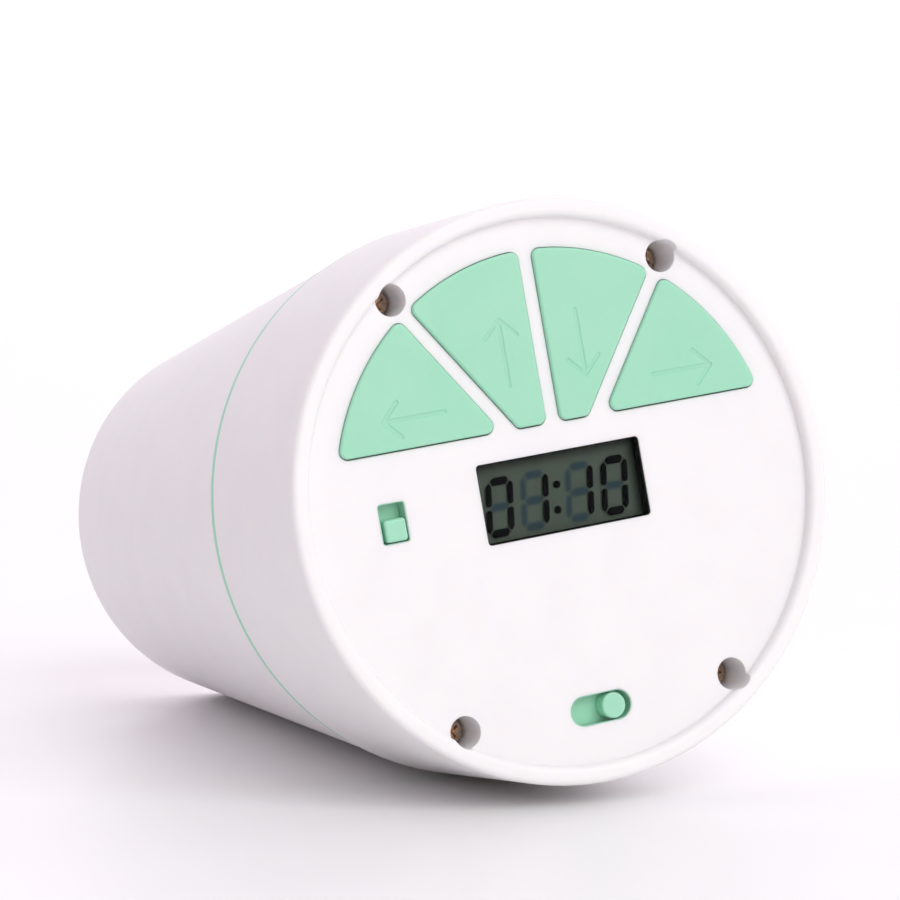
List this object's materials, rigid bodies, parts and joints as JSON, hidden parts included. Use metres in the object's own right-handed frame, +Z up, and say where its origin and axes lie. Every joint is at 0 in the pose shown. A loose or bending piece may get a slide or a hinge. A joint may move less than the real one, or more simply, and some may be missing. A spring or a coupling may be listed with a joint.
{
  "type": "automatic fish feeder",
  "caption": "Battery fish feeder: a round control head with arrow keys, a clock display and slide switches turns a tapered food drum with a shuttered outlet.",
  "frame": {"origin": "centre of the bounding box, on the surface that the feeder lies on", "axes": "+Z up; +Y from the control face towards the far end of the drum, along the longest extent; +X to the right as seen facing the control face"},
  "size_m": [0.0902, 0.152, 0.0909],
  "materials": {
    "white_plastic": "fine moulded texture, slightly warm white",
    "mint_plastic": "satin moulded mint green",
    "clear_window": "clear acrylic",
    "lcd_glass": "grey-green reflective display",
    "black_plastic": "moulded black",
    "black_rubber": "soft black",
    "red_insulation": "red wire insulation",
    "circuit_board": "green solder mask",
    "screw_steel": "bright zinc",
    "motor_can": "drawn metal can",
    "cell_wrap": "plain green cell wrap",
    "brass": "turned",
    "natural_plastic": "natural acetal"
  },
  "bodies": {
    "head": {"front_housing": "white_plastic", "rear_cover": "white_plastic", "housing_screw_1": "screw_steel", "housing_screw_2": "screw_steel", "housing_screw_3": "screw_steel", "housing_screw_4": "screw_steel", "tact_switch_left": "black_plastic", "tact_switch_up": "black_plastic", "tact_switch_down": "black_plastic", "tact_switch_right": "black_plastic", "side_switch_body": "black_plastic", "lower_switch_body": "black_plastic", "display_window": "clear_window", "lcd_glass": "lcd_glass", "lcd_holder": "white_plastic", "contact_strip_upper": "black_rubber", "contact_strip_lower": "black_rubber", "main_board": "circuit_board", "controller_chip": "black_plastic", "board_screw_left": "screw_steel", "board_screw_right": "screw_steel", "drive_motor": "motor_can", "idler_pin": "screw_steel", "drive_bushing": "brass", "gear_plate": "white_plastic", "plate_screw_left": "screw_steel", "plate_screw_right": "screw_steel", "battery_left": "cell_wrap", "battery_tray_left": "black_plastic", "plate_contact_left": "screw_steel", "spring_contact_left": "screw_steel", "battery_right": "cell_wrap", "battery_tray_right": "black_plastic", "plate_contact_right": "screw_steel", "spring_contact_right": "screw_steel", "battery_door_left": "white_plastic", "door_screw_left": "screw_steel", "battery_door_right": "white_plastic", "door_screw_right": "screw_steel", "motor_lead_red": "red_insulation", "motor_lead_black": "black_rubber", "cell_lead_left": "red_insulation", "cell_lead_right": "black_rubber"},
    "arrow_key_left": {"key_left": "mint_plastic", "tact_plunger_left": "black_plastic"},
    "arrow_key_up": {"key_up": "mint_plastic", "tact_plunger_up": "black_plastic"},
    "arrow_key_down": {"key_down": "mint_plastic", "tact_plunger_down": "black_plastic"},
    "arrow_key_right": {"key_right": "mint_plastic", "tact_plunger_right": "black_plastic"},
    "side_slider": {"side_switch_knob": "mint_plastic"},
    "lower_slider": {"lower_switch_knob": "mint_plastic"},
    "pinion": {"motor_pinion": "brass"},
    "idler": {"idler_gear": "natural_plastic"},
    "drum_drive": {"drive_shaft": "natural_plastic", "drum_cover": "mint_plastic", "drum_seal": "black_rubber"},
    "drum": {"drum_shell": "white_plastic"},
    "shutter": {"outlet_shutter": "mint_plastic"}
  },
  "joints": [
    {"name": "press_left", "type": "slide", "parent": "head", "child": "arrow_key_left", "axis": [0, 0.9953, -0.0969], "range_m": [0, 0.0008], "stiffness_N_per_m": 800},
    {"name": "press_up", "type": "slide", "parent": "head", "child": "arrow_key_up", "axis": [0, 0.9953, -0.0969], "range_m": [0, 0.0008], "stiffness_N_per_m": 800},
    {"name": "press_down", "type": "slide", "parent": "head", "child": "arrow_key_down", "axis": [0, 0.9953, -0.0969], "range_m": [0, 0.0008], "stiffness_N_per_m": 800},
    {"name": "press_right", "type": "slide", "parent": "head", "child": "arrow_key_right", "axis": [0, 0.9953, -0.0969], "range_m": [0, 0.0008], "stiffness_N_per_m": 800},
    {"name": "side_switch_slide", "type": "slide", "parent": "head", "child": "side_slider", "axis": [-0.1454, 0.0959, 0.9847], "range_m": [0, 0.0021]},
    {"name": "lower_switch_slide", "type": "slide", "parent": "head", "child": "lower_slider", "axis": [-0.9894, -0.0141, -0.1447], "range_m": [0, 0.0044]},
    {"name": "drum_spin", "type": "hinge", "parent": "head", "child": "drum_drive", "pos_m": [-0.00111, -0.03604, 0.04375], "axis": [0, -0.9953, 0.0969], "continuous": true},
    {"name": "idler_spin", "type": "hinge", "parent": "head", "child": "idler", "pos_m": [-0.00274, -0.04094, 0.05536], "axis": [0, -0.9953, 0.0969], "continuous": true},
    {"name": "pinion_spin", "type": "hinge", "parent": "head", "child": "pinion", "pos_m": [-0.00471, -0.04162, 0.06895], "axis": [0, -0.9953, 0.0969], "continuous": true},
    {"name": "drum_pull", "type": "slide", "parent": "drum_drive", "child": "drum", "axis": [0, 0.9953, -0.0969], "range_m": [0, 0.04]},
    {"name": "shutter_slide", "type": "slide", "parent": "drum", "child": "shutter", "axis": [-0.0947, 0.9908, -0.0965], "range_m": [-0.0122, 0.012]}
  ],
  "couplings": [
    {"joint": "idler_spin", "follows": "drum_spin", "ratio": -1.3333},
    {"joint": "pinion_spin", "follows": "drum_spin", "ratio": 3.2}
  ]
}
